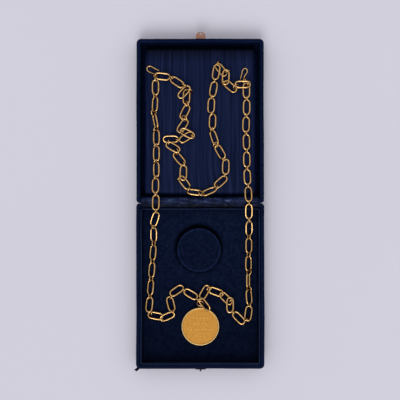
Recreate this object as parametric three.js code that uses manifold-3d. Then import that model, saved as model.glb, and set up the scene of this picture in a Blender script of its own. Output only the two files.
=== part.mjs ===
// A commemorative medallion on a long chain, lying in its open presentation box.
// Millimetres, +Z up, +X to the right, +Y from the base of the box towards its lid.
// The box is open flat, so both halves stand on the table with their hollows up.
// The origin is on the table, under the middle of the whole thing.

import * as THREE from 'three';
import { mergeVertices } from 'three/addons/utils/BufferGeometryUtils.js';
import Module from 'manifold-3d';

const wasm = await Module();
wasm.setup();

// Clearance between pieces that touch on the real object
const fit = 0.3;

// Box: two equal trays of covered board, back to back
const boxWidth = 127;
const trayLength = 164.5;
const trayHeight = 20;
const trayWall = 4;
const trayFloor = 3;
const frontCorner = 4.5;
const backCorner = 2;
const innerCorner = 2;
const edgeRound = 1.2;
const backGap = 0.6;

// Upright liner round the bed of the base, which the lid closes over
const collarThickness = 1.4;
const collarProud = 1;

// Velvet bed of the base, and the round velvet rest on it
const bedTop = 11;
const bedRound = 1;
const discDiameter = 43;
const discHeight = 3.2;
const discRound = 1.4;
const discX = -0.95;
const discY = -47;

// Padded lining of the lid, with a groove round it
const liningTop = 16.5;
const liningRound = 3.5;
const liningCorner = 4.5;
const grooveSide = 3.25;
const grooveEnd = 5.75;
const liningShift = 0.9;

// Cloth strip over the hinge, curling down inside the lid
const stripThickness = 1;
const stripOverBase = 3.6;
const stripEndGap = 1.3;
const curlWidth = 2.9;
const curlDrop = 3.3;

// Catch: a pierced tongue on the lid's front, a plate with a stud on the base's front
const tongueWidth = 9.6;
const tongueReach = 7;
const tongueShoulder = 3.6;
const tongueThickness = 0.8;
const tongueHoleDiameter = 2.5;
const tongueHoleInset = 1.8;
const tongueCurve = 0.75;
const catchX = 0.7;
const catchHeight = 9;
const catchDrop = 1.4;
const plateWidth = 10.3;
const plateThickness = 0.5;
const studDiameter = 1.8;
const studLength = 3;

// Medal, lying on the bed, its middle set back from the front of the base
const medalDiameter = 38.2;
const medalThickness = 3;
const medalX = 0.45;
const medalFromFront = 41.3;
const rimWidth = 1.8;
const rimHeight = 0.5;
const reliefHeight = 0.45;
const reliefWidth = 2.6;
const reliefPitch = 4.1;
const reliefRowPitch = 5.9;
const reliefMargin = 2.4;

// Lug soldered to the medal's edge, and the ring that joins it to the chain
const lugRadius = 1.5;
const lugWire = 1.1;
const lugX = 1.15;
const lugSink = 0.45;
const medalRingDiameter = 7.5;
const medalRingWire = 1.1;
const medalRingTilt = 38;
const medalRingShift = -0.9;

// Long oval links that carry the medal and the two hooks
const linkLength = 16.4;
const linkWidth = 8.4;
const linkWire = 1.4;
const linkSquareness = 2.7;

// Stretches of finer links between them, each a plain tube
const chainDiameter = 3.2;
const chainLift = 0.5;

// Carrier: the link that the medal's ring hangs from, placed from the middle of the lug
const carrierX = 3.35;
const carrierY = 2.9;
const carrierLift = 2.8;
const carrierHeading = -52;
const carrierPitch = 8;
const carrierRoll = 30;

// Shoulders: the two links that carry the hooks, each inset from the lid's side and set
// back from its front
const leftLinkInset = 26;
const leftLinkFromFront = 38.2;
const leftLinkHeading = 173;
const rightLinkInset = 20.8;
const rightLinkFromFront = 46.3;
const rightLinkHeading = 180;

// Hooks at the chain's two shoulders
const hookWire = 1.2;
const eyeRadius = 2.2;
const eyeTilt = 48;
const eyeLift = 2.5;
const eyeExit = 40;
const leftEyeTurn = -3.4;
const leftHookHeading = 140;
const leftWireHeading = 80;
const rightEyeTurn = -100.7;
const rightHookHeading = 90;
const rightWireHeading = 0;

// Facets; a circle drawn as a shape gets two for each of its curve segments
const cornerSteps = 3;
const roundSteps = 2;
const wireSides = 6;
const ringSides = 14;
const linkSides = 16;
const chainSides = 8;
const chainStepsPerPoint = 2;
const hookSteps = 18;
const medalSides = 36;
const discSides = 40;
const studSides = 12;
const nearestSteps = 72;

// How far a cutting shape stands out of what it cuts
const cutMargin = 1;

// Levels worked out from the sizes above
const stripTop = trayHeight + fit + stripThickness;
const level = {
  bed: bedTop,
  halfway: (bedTop + stripTop) / 2,
  rim: stripTop,
  lining: liningTop,
};
const medalRingRadius = (medalRingDiameter - medalRingWire) / 2;
const frontY = backGap / 2 + trayLength;
const sideX = boxWidth / 2;
const medalY = medalFromFront - frontY;
const medalBase = bedTop + fit;
const medalTop = medalBase + medalThickness + rimHeight;

// The chain's route, chosen by eye: points of its middle line in plan, each with what it
// lies over. The three stretches run between the links that carry the hooks and the medal.
// A stretch's first point is measured from the link before it, and its last point from the
// link after it.
const chainRoute = {
  left: [
    [-7.1, -8.6, 'lining'],
    [-44.3, 82, 'lining'],
    [-43.5, 28, 'lining'],
    [-44.1, 19, 'lining'],
    [-44, 7, 'rim'],
    [-43.9, 0, 'rim'],
    [-44.2, -8, 'rim'],
    [-45, -17, 'halfway'],
    [-46, -28, 'bed'],
    [-46.5, -36, 'bed'],
    [-50.4, -98, 'bed'],
    [-49.4, -111, 'bed'],
    [-39, -114.6, 'bed'],
    [-30.4, -108, 'bed'],
    [-28.6, -95, 'bed'],
    [-22, -87.4, 'bed'],
    [-14.9, 9.1, 'bed'],
  ],
  right: [
    [0.9, 11.1, 'bed'],
    [16.2, -89, 'bed'],
    [27, -95.8, 'bed'],
    [32.6, -107.4, 'bed'],
    [40.2, -115, 'bed'],
    [47.6, -109, 'bed'],
    [48.6, -80, 'bed'],
    [48.9, -36, 'bed'],
    [49.1, -28, 'bed'],
    [49, -17, 'halfway'],
    [48.8, -8, 'rim'],
    [48.6, 0, 'rim'],
    [48.3, 7, 'rim'],
    [47.7, 19, 'lining'],
    [47.2, 28, 'lining'],
    [46.2, 78, 'lining'],
    [4.2, -14.5, 'lining'],
  ],
  inner: [
    [-13.3, -0.9, 'lining'],
    [25.4, 127, 'lining'],
    [19.6, 134.4, 'lining'],
    [15.6, 124, 'lining'],
    [11.4, 97.6, 'lining'],
    [13, 74, 'lining'],
    [20.4, 53, 'lining'],
    [25.6, 35.6, 'lining'],
    [19.4, 21, 'lining'],
    [7.4, 13.4, 'lining'],
    [-6.4, 13, 'lining'],
    [-15.4, 21.6, 'lining'],
    [-17.4, 34, 'lining'],
    [-24.4, 50.4, 'lining'],
    [-30.6, 59, 'lining'],
    [-25.4, 65.6, 'lining'],
    [-14.2, 67.4, 'lining'],
    [-17, 77, 'lining'],
    [-13.8, 98, 'lining'],
    [-17.4, 113.6, 'lining'],
    [12.5, -4.2, 'lining'],
  ],
};

// Hook's route from its eye, along its heading, towards its free leg, and up
const hookRoute = [
  [5.5, -1.6, -0.8],
  [9.9, -2.4, -1.5],
  [13, -0.2, -1.5],
  [10.5, 2.2, -1.5],
  [6.3, 3.5, -1.5],
  [2.1, 4.9, -1.5],
];

// Colours and finishes
const boardCloth = new THREE.MeshStandardMaterial({ color: 0x0b1430, roughness: 0.7, metalness: 0 });
const velvet = new THREE.MeshStandardMaterial({ color: 0x0a1026, roughness: 0.95, metalness: 0 });
const moire = new THREE.MeshStandardMaterial({ color: 0x1b2444, roughness: 0.5, metalness: 0 });
const stripCloth = new THREE.MeshStandardMaterial({ color: 0x1c2340, roughness: 0.6, metalness: 0 });
const gold = new THREE.MeshStandardMaterial({ color: 0xc99b4f, roughness: 0.3, metalness: 1 });
const brass = new THREE.MeshStandardMaterial({ color: 0xb07a45, roughness: 0.4, metalness: 1 });

function radians(degrees) {
  return THREE.MathUtils.degToRad(degrees);
}

function toSolid(geometry) {
  const bare = geometry.clone();
  bare.deleteAttribute('normal');
  bare.deleteAttribute('uv');
  const merged = mergeVertices(bare);
  const vertProperties = new Float32Array(merged.attributes.position.array);
  const triVerts = new Uint32Array(merged.index.array);
  return new wasm.Manifold(new wasm.Mesh({ numProp: 3, vertProperties, triVerts }));
}

function toGeometry(solid) {
  const { vertProperties, triVerts } = solid.getMesh();
  const geometry = new THREE.BufferGeometry();
  geometry.setAttribute('position', new THREE.BufferAttribute(vertProperties, 3));
  geometry.setIndex(new THREE.BufferAttribute(triVerts, 1));
  geometry.computeVertexNormals();
  return geometry;
}

function joined(geometries) {
  const solids = geometries.map(toSolid);
  return toGeometry(solids.reduce((whole, solid) => whole.add(solid)));
}

function cut(geometry, ...tools) {
  return toGeometry(tools.reduce((left, tool) => left.subtract(toSolid(tool)), toSolid(geometry)));
}

// Rectangle from nearY to farY, with its own corner radius at each end
function roundedRectangle(halfWidth, nearY, farY, nearRadius, farRadius) {
  const shape = new THREE.Shape();
  shape.moveTo(-halfWidth + nearRadius, nearY);
  shape.absarc(halfWidth - nearRadius, nearY + nearRadius, nearRadius, -Math.PI / 2, 0);
  shape.absarc(halfWidth - farRadius, farY - farRadius, farRadius, 0, Math.PI / 2);
  shape.absarc(-halfWidth + farRadius, farY - farRadius, farRadius, Math.PI / 2, Math.PI);
  shape.absarc(-halfWidth + nearRadius, nearY + nearRadius, nearRadius, Math.PI, 1.5 * Math.PI);
  return shape;
}

// Slab from bottom to top; round is the rounding of its upper and lower edges
function slab(shape, bottom, top, round = 0) {
  const geometry = new THREE.ExtrudeGeometry(shape, {
    depth: top - bottom - 2 * round,
    curveSegments: cornerSteps,
    bevelEnabled: round > 0,
    bevelThickness: round,
    bevelSize: round,
    bevelOffset: -round,
    bevelSegments: roundSteps,
  });
  geometry.translate(0, 0, bottom + round);
  return geometry;
}

// One half of the box, with its back wall at y = 0 and its front towards +Y
function tray() {
  const outside = roundedRectangle(sideX, 0, trayLength, backCorner, frontCorner);
  const pocket = slab(insideTray(0, 0, innerCorner), trayFloor, trayHeight + cutMargin);
  return cut(slab(outside, 0, trayHeight, edgeRound), pocket);
}

// Outline inside the tray's walls, at a distance from them
function insideTray(sideGap, endGap, corner) {
  const halfWidth = sideX - trayWall - sideGap;
  const nearY = trayWall + endGap;
  const farY = trayLength - trayWall - endGap;
  return roundedRectangle(halfWidth, nearY, farY, corner, corner);
}

function collar() {
  const innerGap = fit + collarThickness;
  const bottom = trayFloor + fit;
  const top = trayHeight + collarProud;
  const inside = insideTray(innerGap, innerGap, innerCorner);
  const hollow = slab(inside, bottom - cutMargin, top + cutMargin);
  return cut(slab(insideTray(fit, fit, innerCorner), bottom, top), hollow);
}

function bed() {
  const gap = 2 * fit + collarThickness;
  return slab(insideTray(gap, gap, innerCorner), trayFloor + fit, bedTop, bedRound);
}

function lidLining() {
  const outline = insideTray(grooveSide, grooveEnd, liningCorner);
  return slab(outline, trayFloor + fit, liningTop, liningRound);
}

// Round rest with a rounded upper edge, turned about its middle
function velvetDisc() {
  const radius = discDiameter / 2;
  const profile = [new THREE.Vector2(0, 0), new THREE.Vector2(radius, 0)];
  for (let step = 0; step <= roundSteps + 1; step += 1) {
    const angle = (step / (roundSteps + 1)) * (Math.PI / 2);
    const out = radius - discRound + discRound * Math.cos(angle);
    const up = discHeight - discRound + discRound * Math.sin(angle);
    profile.push(new THREE.Vector2(out, up));
  }
  profile.push(new THREE.Vector2(0, discHeight));
  return turned(profile, discSides);
}

// Lathe geometry turned about +Z instead of +Y
function turned(profile, sides) {
  const geometry = new THREE.LatheGeometry(profile, sides);
  geometry.rotateX(Math.PI / 2);
  return geometry;
}

// Cloth strip: flat over both back walls, then a quarter round down inside the lid
function hingeStrip() {
  const under = trayHeight + fit;
  const bend = backGap / 2 + trayWall - fit;
  const shape = new THREE.Shape();
  shape.moveTo(-stripOverBase, under);
  shape.lineTo(bend, under);
  shape.absellipse(bend, under - curlDrop, curlWidth, curlDrop, Math.PI / 2, 0, true);
  shape.absellipse(
    bend,
    under - curlDrop,
    curlWidth + stripThickness,
    curlDrop + stripThickness,
    0,
    Math.PI / 2,
    false,
  );
  shape.lineTo(-stripOverBase, stripTop);
  const length = boxWidth - 2 * (trayWall + stripEndGap);
  const geometry = new THREE.ExtrudeGeometry(shape, {
    depth: length,
    curveSegments: cornerSteps,
    bevelEnabled: false,
  });
  // The section is drawn in Y and Z, and runs along X
  const across = new THREE.Matrix4().makeBasis(
    new THREE.Vector3(0, 1, 0),
    new THREE.Vector3(0, 0, 1),
    new THREE.Vector3(1, 0, 0),
  );
  geometry.applyMatrix4(across);
  geometry.translate(-length / 2, 0, 0);
  return geometry;
}

// Plate on a front wall, from the wall outwards along +Y
function catchPlate(width, thickness) {
  const top = trayHeight - edgeRound - fit;
  const geometry = new THREE.BoxGeometry(width, thickness, catchHeight);
  geometry.translate(0, fit + thickness / 2, top - catchHeight / 2);
  return geometry;
}

function catchTongue() {
  const half = tongueWidth / 2;
  const curve = half * tongueCurve;
  const shape = new THREE.Shape();
  shape.moveTo(-half, fit);
  shape.lineTo(half, fit);
  shape.lineTo(half, tongueShoulder);
  shape.quadraticCurveTo(curve, tongueReach, 0, tongueReach);
  shape.quadraticCurveTo(-curve, tongueReach, -half, tongueShoulder);
  const hole = new THREE.Path();
  hole.absarc(0, tongueReach - tongueHoleInset, tongueHoleDiameter / 2, 0, 2 * Math.PI);
  shape.holes.push(hole);
  const top = trayHeight - edgeRound - fit;
  const tongue = slab(shape, top - tongueThickness, top);
  return joined([tongue, catchPlate(tongueWidth, tongueThickness)]);
}

function catchStud() {
  const radius = studDiameter / 2;
  const stud = new THREE.CylinderGeometry(radius, radius, studLength, studSides);
  stud.translate(0, fit + studLength / 2, trayHeight - edgeRound - catchHeight / 2 - catchDrop);
  return joined([catchPlate(plateWidth, plateThickness), stud]);
}

// One raised lozenge of the medal's relief, a low four-sided point
function lozenge(x, y) {
  const point = new THREE.ConeGeometry(reliefWidth / 2, 2 * reliefHeight, 4);
  point.rotateX(Math.PI / 2);
  point.translate(x, y, medalThickness);
  return point;
}

// Rows of lozenges inside the rim, each row as long as the field is wide there
function relief() {
  const fieldRadius = medalDiameter / 2 - rimWidth - reliefMargin;
  const rows = Math.floor(fieldRadius / reliefRowPitch);
  const lozenges = [];
  for (let row = -rows; row <= rows; row += 1) {
    const y = row * reliefRowPitch;
    const halfRow = Math.sqrt(fieldRadius ** 2 - y ** 2);
    const count = Math.floor((2 * halfRow) / reliefPitch) + 1;
    for (let place = 0; place < count; place += 1) {
      lozenges.push(lozenge((place - (count - 1) / 2) * reliefPitch, y));
    }
  }
  return lozenges;
}

// Medal with its raised rim, its relief and the lug soldered to its upper edge
function medal() {
  const radius = medalDiameter / 2;
  const chamfer = rimHeight / 2;
  const top = medalThickness + rimHeight;
  const disc = turned(
    [
      new THREE.Vector2(0, 0),
      new THREE.Vector2(radius - chamfer, 0),
      new THREE.Vector2(radius, chamfer),
      new THREE.Vector2(radius, top - chamfer),
      new THREE.Vector2(radius - chamfer, top),
      new THREE.Vector2(radius - rimWidth + rimHeight, top),
      new THREE.Vector2(radius - rimWidth, medalThickness),
      new THREE.Vector2(0, medalThickness),
    ],
    medalSides,
  );
  const lug = new THREE.TorusGeometry(lugRadius, lugWire / 2, wireSides, ringSides);
  lug.rotateY(Math.PI / 2);
  lug.translate(lugX - medalX, lugMiddle.y - medalY, lugMiddle.z - medalBase);
  return joined([disc, lug, ...relief()]);
}

// Middle of the lug's hole
const lugMiddle = new THREE.Vector3(
  lugX,
  medalY + medalDiameter / 2 + lugRadius + lugWire / 2 - lugSink,
  medalBase + lugRadius + lugWire / 2,
);

function medalRing() {
  return new THREE.TorusGeometry(medalRingRadius, medalRingWire / 2, wireSides, ringSides);
}

// Ring through the lug and through the chain link above it, its far side propped up
function placeMedalRing(piece) {
  piece.rotation.x = radians(medalRingTilt);
  const reach = new THREE.Vector3(0, medalRingRadius, 0).applyEuler(piece.rotation);
  piece.position.copy(lugMiddle).add(reach);
  piece.position.x += medalRingShift;
}

// Middle line of a link: a rounded oval between its long and its short direction
class LinkLine extends THREE.Curve {
  constructor(link) {
    super();
    this.link = link;
  }

  getPoint(t, target = new THREE.Vector3()) {
    const angle = 2 * Math.PI * t;
    const power = 2 / linkSquareness;
    const along = Math.sign(Math.cos(angle)) * Math.abs(Math.cos(angle)) ** power;
    const across = Math.sign(Math.sin(angle)) * Math.abs(Math.sin(angle)) ** power;
    return target
      .copy(this.link.middle)
      .addScaledVector(this.link.along, (along * (linkLength - linkWire)) / 2)
      .addScaledVector(this.link.across, (across * (linkWidth - linkWire)) / 2);
  }

  // Steps at equal angles, so that the ends of the oval get as many as its sides
  getPointAt(t, target) {
    return this.getPoint(t, target);
  }

  getTangentAt(t, target) {
    return this.getTangent(t, target);
  }
}

// Place of one link from its middle, its heading in plan, its pitch and its roll
function placeLink(x, y, z, heading, pitch = 0, roll = 0) {
  const turn = new THREE.Euler(radians(roll), radians(-pitch), radians(heading), 'ZYX');
  return {
    middle: new THREE.Vector3(x, y, z),
    along: new THREE.Vector3(1, 0, 0).applyEuler(turn),
    across: new THREE.Vector3(0, 1, 0).applyEuler(turn),
  };
}

function chainLink(link) {
  return new THREE.TubeGeometry(new LinkLine(link), linkSides, linkWire / 2, wireSides, true);
}

// Point just outside the wire of a link, on the side that faces a given point
function besideLink(link, target) {
  const wire = new LinkLine(link).getPoints(nearestSteps);
  const nearest = wire.reduce((a, b) => (a.distanceTo(target) < b.distanceTo(target) ? a : b));
  const outwards = target.clone().sub(nearest).normalize();
  return nearest.addScaledVector(outwards, linkWire / 2 + 2 * fit);
}

// Smooth line through chosen points, with as many steps between near points as between
// far ones, so that its bends are followed closely
class RouteLine extends THREE.CatmullRomCurve3 {
  getPointAt(t, target) {
    return this.getPoint(t, target);
  }

  getTangentAt(t, target) {
    return this.getTangent(t, target);
  }
}

// Tube along one stretch of the route, between the two links that it joins
function chainTube(stretch, before, after) {
  const points = stretch.map(([x, y, under]) => {
    return new THREE.Vector3(x, y, level[under] + chainLift + chainDiameter / 2);
  });
  const first = points[0];
  const last = points[points.length - 1];
  first.add(before.middle.clone().setZ(0));
  last.add(after.middle.clone().setZ(0));
  const start = besideLink(before, first);
  const end = besideLink(after, last);
  const section = new THREE.Shape();
  section.absarc(0, 0, chainDiameter / 2, 0, 2 * Math.PI);
  return new THREE.ExtrudeGeometry(section, {
    extrudePath: new RouteLine([start, ...points, end]),
    steps: chainStepsPerPoint * (points.length + 1),
    curveSegments: chainSides / 2,
    bevelEnabled: false,
  });
}

// Turn of a hook's eye: tilted across the link's wire, which it goes round
function turnEye(thing, wireHeading) {
  const tilt = new THREE.Matrix4().makeRotationY(radians(eyeTilt));
  const turn = new THREE.Matrix4().makeRotationZ(radians(wireHeading));
  return thing.applyMatrix4(turn.multiply(tilt));
}

// Hook: an eye round the shoulder link, a shank and a bent-back leg with a free end.
// heading turns it in plan, side is +1 or -1 for the side of its free leg
function hook(heading, side, wireHeading) {
  const ahead = new THREE.Vector3(Math.cos(radians(heading)), Math.sin(radians(heading)), 0);
  const beside = new THREE.Vector3(-ahead.y, ahead.x, 0).multiplyScalar(side);
  const points = hookRoute.map(([along, across, up]) => {
    const point = new THREE.Vector3(0, 0, up);
    return point.addScaledVector(ahead, along).addScaledVector(beside, across);
  });
  const exit = radians(heading - wireHeading + side * eyeExit);
  const start = new THREE.Vector3(eyeRadius * Math.cos(exit), eyeRadius * Math.sin(exit), 0);
  const path = new THREE.CatmullRomCurve3([turnEye(start, wireHeading), ...points]);
  const section = new THREE.Shape();
  section.absarc(0, 0, hookWire / 2, 0, 2 * Math.PI);
  const leg = new THREE.ExtrudeGeometry(section, {
    extrudePath: path,
    steps: hookSteps,
    curveSegments: wireSides / 2,
    bevelEnabled: false,
  });
  const eye = new THREE.TorusGeometry(eyeRadius, hookWire / 2, wireSides, ringSides);
  return joined([leg, turnEye(eye, wireHeading)]);
}

function mesh(name, geometry, material, parent) {
  const piece = new THREE.Mesh(geometry, material);
  piece.name = name;
  parent.add(piece);
  return piece;
}

const part = new THREE.Group();

// Everything is placed from the hinge line, which lies off the middle of the whole thing
// by the difference between the stud and the tongue at its two ends
const open = new THREE.Group();
open.position.y = (fit + studLength - tongueReach) / 2;
part.add(open);

const base = new THREE.Group();
base.rotation.z = Math.PI;
base.position.y = -backGap / 2;
open.add(base);
mesh('base_tray', tray(), boardCloth, base);
mesh('base_collar', collar(), boardCloth, base);
mesh('base_bed', bed(), velvet, base);

const lid = new THREE.Group();
lid.position.y = backGap / 2;
open.add(lid);
mesh('lid_tray', tray(), boardCloth, lid);
mesh('lid_lining', lidLining(), moire, lid).position.x = liningShift;

mesh('hinge_strip', hingeStrip(), stripCloth, open);
mesh('velvet_disc', velvetDisc(), velvet, open).position.set(discX, discY, bedTop + fit);
mesh('catch_tongue', catchTongue(), brass, lid).position.set(catchX, trayLength, 0);
mesh('catch_plate', catchStud(), brass, base).position.set(-catchX, trayLength, 0);

mesh('medal', medal(), gold, open).position.set(medalX, medalY, medalBase);
placeMedalRing(mesh('medal_ring', medalRing(), gold, open));

const eyeZ = liningTop + eyeLift;
const shoulderLeft = placeLink(
  leftLinkInset - sideX,
  frontY - leftLinkFromFront,
  eyeZ,
  leftLinkHeading,
);
const shoulderRight = placeLink(
  sideX - rightLinkInset,
  frontY - rightLinkFromFront,
  eyeZ,
  rightLinkHeading,
);
const carrier = placeLink(
  lugMiddle.x + carrierX,
  lugMiddle.y + carrierY,
  medalTop + carrierLift,
  carrierHeading,
  carrierPitch,
  carrierRoll,
);
mesh('link_shoulder_left', chainLink(shoulderLeft), gold, open);
mesh('link_shoulder_right', chainLink(shoulderRight), gold, open);
mesh('link_carrier', chainLink(carrier), gold, open);
mesh('chain_left', chainTube(chainRoute.left, shoulderLeft, carrier), gold, open);
mesh('chain_right', chainTube(chainRoute.right, carrier, shoulderRight), gold, open);
mesh('chain_inner', chainTube(chainRoute.inner, shoulderRight, shoulderLeft), gold, open);

// The middle of each eye lies on the wire that it goes round
const hookLeft = mesh('hook_left', hook(leftHookHeading, -1, leftWireHeading), gold, open);
const hookRight = mesh('hook_right', hook(rightHookHeading, 1, rightWireHeading), gold, open);
new LinkLine(shoulderLeft).getPoint(leftEyeTurn / 360, hookLeft.position);
new LinkLine(shoulderRight).getPoint(rightEyeTurn / 360, hookRight.position);

export default part;
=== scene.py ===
# %% [markdown]
# # A commemorative medallion in its open box
# A gold medal hangs on a long chain of oval links and small rings. The chain lies in a
# flat box, opened until both halves lie on the table: velvet in the base, watered silk in
# the lid. The solids of the box, the medal and the hooks come from the CAD frame. This
# script reads their places from it and builds the surfaces that the eye sees.

# %% Load the frame
import bpy
import numpy as np
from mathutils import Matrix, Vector


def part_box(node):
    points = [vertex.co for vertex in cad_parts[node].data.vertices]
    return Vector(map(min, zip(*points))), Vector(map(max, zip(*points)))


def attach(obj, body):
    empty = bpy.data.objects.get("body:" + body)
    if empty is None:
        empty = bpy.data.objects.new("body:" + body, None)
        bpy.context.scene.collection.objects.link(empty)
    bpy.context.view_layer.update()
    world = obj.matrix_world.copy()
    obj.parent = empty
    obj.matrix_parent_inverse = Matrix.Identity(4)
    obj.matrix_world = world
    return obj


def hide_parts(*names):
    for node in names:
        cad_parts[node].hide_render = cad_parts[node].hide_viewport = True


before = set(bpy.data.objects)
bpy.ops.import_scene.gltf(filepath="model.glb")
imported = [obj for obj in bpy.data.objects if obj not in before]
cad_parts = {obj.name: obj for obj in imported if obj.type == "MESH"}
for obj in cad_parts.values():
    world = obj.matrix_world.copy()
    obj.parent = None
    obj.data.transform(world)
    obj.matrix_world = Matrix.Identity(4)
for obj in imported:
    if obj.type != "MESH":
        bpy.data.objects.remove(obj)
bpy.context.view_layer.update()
MM = 0.001
print("CAD nodes:", sorted(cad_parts))

# %% [markdown]
# The places of the solids come from the frame.


# %% Places read from the frame
def node_box(name):
    """Lowest and highest corner of a CAD node in millimetres."""
    low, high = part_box(name)
    return np.array(low) / MM, np.array(high) / MM


base_low, base_high = node_box("base_tray")
lid_low, lid_high = node_box("lid_tray")
collar_low, collar_high = node_box("base_collar")
bed_low, bed_high = node_box("base_bed")
disc_low, disc_high = node_box("velvet_disc")
lining_low, lining_high = node_box("lid_lining")
strip_low, strip_high = node_box("hinge_strip")
tongue_low, tongue_high = node_box("catch_tongue")
plate_low, plate_high = node_box("catch_plate")
medal_low, medal_high = node_box("medal")
HINGE_Y = (base_high[1] + lid_low[1]) / 2
WALL = 4.0
FLOOR = 3.0
print("hinge line at", round(float(HINGE_Y), 2), "mm, rim at", lid_high[2], "mm")

# %% [markdown]
# ## Shader helpers
# Small helpers keep the node trees readable: one adds a node with its settings, one starts
# a material and returns its shader, and the others are steps that most finishes share.
# Effects that more than one finish uses are node groups with named inputs and outputs.

# %% Shader helpers
MIX_FACTOR, MIX_FIRST, MIX_SECOND = 0, 6, 7
MIX_RESULT = 2


def add_node(tree, kind, inputs=None, **settings):
    """A node of that kind, with its settings, its values and its links."""
    node = tree.nodes.new(kind)
    for name, value in settings.items():
        setattr(node, name, value)
    for name, value in (inputs or {}).items():
        socket = node.inputs[name]
        if isinstance(value, bpy.types.NodeSocket):
            tree.links.new(value, socket)
        else:
            socket.default_value = value
    return node


def new_material(name, **values):
    """A material, its tree and its Principled shader with constant values set on it."""
    material = bpy.data.materials.new(name)
    material.use_nodes = True
    tree = material.node_tree
    shader = tree.nodes["Principled BSDF"]
    for socket, value in values.items():
        shader.inputs[socket.replace("_", " ")].default_value = value
    return material, tree, shader


def feed(tree, shader, **outputs):
    """Links outputs of other nodes to the inputs of that name on the shader."""
    for name, output in outputs.items():
        tree.links.new(output, shader.inputs[name.replace("_", " ")])


def ramp(tree, factor, stops):
    """A colour ramp of (position, grey or colour) stops, read at a factor."""
    node = add_node(tree, "ShaderNodeValToRGB", {"Fac": factor})
    elements = node.color_ramp.elements
    while len(elements) < len(stops):
        elements.new(0.5)
    for element, (position, colour) in zip(elements, stops):
        element.position = position
        if isinstance(colour, (int, float)):
            colour = (colour, colour, colour)
        element.color = (*colour, 1.0)
    return node.outputs["Color"]


def mix_colours(tree, factor, first, second, mode="MIX"):
    """Two colours, each a socket or three numbers, mixed by a factor."""
    inputs = {MIX_FACTOR: factor}
    for index, value in ((MIX_FIRST, first), (MIX_SECOND, second)):
        linked = isinstance(value, bpy.types.NodeSocket)
        inputs[index] = value if linked else (*value, 1.0)
    node = add_node(tree, "ShaderNodeMix", inputs, data_type="RGBA", blend_type=mode)
    return node.outputs[MIX_RESULT]


def multiplied(tree, colour, shade):
    """A colour multiplied by a shade."""
    return mix_colours(tree, 1.0, colour, shade, "MULTIPLY")


def vector_math(tree, operation, first, second):
    """Two vectors or colours put together by one operation."""
    node = add_node(tree, "ShaderNodeVectorMath", {0: first, 1: second}, operation=operation)
    return node.outputs[0]


def object_place(tree):
    """The place of a point in its object's own space, in metres."""
    return add_node(tree, "ShaderNodeTexCoord").outputs["Object"]


def object_axis(tree, axis):
    """The object coordinate along one axis, in metres."""
    return add_node(tree, "ShaderNodeSeparateXYZ", {0: object_place(tree)}).outputs[axis]


def noise(tree, place, scale, detail, roughness=0.5):
    """Soft noise at a place; more detail adds finer and finer noise to it."""
    return add_node(tree, "ShaderNodeTexNoise", {
        "Vector": place, "Scale": scale, "Detail": detail, "Roughness": roughness,
    })


def distance_from(tree, middle):
    """Distance in metres, seen from above, from a place that is given in millimetres."""
    flat = vector_math(tree, "MULTIPLY", object_place(tree), (1.0, 1.0, 0.0))
    apart = add_node(tree, "ShaderNodeVectorMath", {
        0: flat, 1: (middle[0] * MM, middle[1] * MM, 0.0),
    }, operation="DISTANCE")
    return apart.outputs["Value"]


def share_between(tree, value, low, high):
    """A value mapped from its range in millimetres to 0 and 1."""
    node = add_node(tree, "ShaderNodeMapRange", {
        "Value": value, "From Min": low * MM, "From Max": high * MM,
        "To Min": 0.0, "To Max": 1.0,
    })
    return node.outputs[0]


def new_group(name, inputs, outputs):
    """An empty shader node group with named sockets, its tree and its two end nodes."""
    tree = bpy.data.node_groups.new(name, "ShaderNodeTree")
    for socket, kind in inputs.items():
        tree.interface.new_socket(socket, in_out="INPUT", socket_type=kind)
    for socket, kind in outputs.items():
        tree.interface.new_socket(socket, in_out="OUTPUT", socket_type=kind)
    start = tree.nodes.new("NodeGroupInput")
    end = tree.nodes.new("NodeGroupOutput")
    return tree, start, end


def use_group(tree, group, **values):
    """A node that runs a group in a material, with its inputs set or linked."""
    inputs = {name.replace("_", " "): value for name, value in values.items()}
    return add_node(tree, "ShaderNodeGroup", inputs, node_tree=group)


print("node helpers ready")

# %% [markdown]
# ## Camera, floor and light
# The box is seen from straight above, from about 0.9 m, with the camera leaning a little
# over the base. One millimetre at the height of the rim is one pixel of a 400 pixel frame,
# and that gives the lens its angle.

# %% Camera
CAMERA_DISTANCE = 900.0
CAMERA_LEAN = np.radians(1.2)
FRAME_WIDTH = 399.0
LOOK_AT = np.array([0.1, HINGE_Y + 3.1, lid_high[2]])

camera_data = bpy.data.cameras.new("camera")
camera_data.angle = 2 * np.arctan(FRAME_WIDTH / 2 / CAMERA_DISTANCE)
camera = bpy.data.objects.new("camera", camera_data)
backwards = np.array([0.0, -np.sin(CAMERA_LEAN), np.cos(CAMERA_LEAN)])
camera.location = (LOOK_AT + CAMERA_DISTANCE * backwards) * MM
camera.rotation_euler = (CAMERA_LEAN, 0.0, 0.0)
bpy.context.collection.objects.link(camera)
bpy.context.scene.camera = camera
bpy.context.scene.view_settings.view_transform = "Standard"
print("lens angle", round(float(np.degrees(camera_data.angle)), 2), "degrees")


# %% [markdown]
# The light is broad and soft. It comes from beyond the base, about fifty degrees up, so that
# a soft shadow nearly as long as the box is high falls past the lid. A pale sky fills the
# rest. It is darker towards the horizon, which gives the round wires their dark sides.

# %% Light
def far_light(name, coming_from, strength, spread):
    """A distant lamp from a direction; the spread in degrees softens its shadows."""
    lamp = bpy.data.lights.new(name, "SUN")
    lamp.energy = strength
    lamp.angle = np.radians(spread)
    holder = bpy.data.objects.new(name, lamp)
    holder.rotation_euler = Vector(coming_from).to_track_quat("Z", "Y").to_euler()
    bpy.context.collection.objects.link(holder)
    return holder


far_light("key_light", coming_from=(-0.12, -1.0, 1.25), strength=1.02, spread=32.0)

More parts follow.
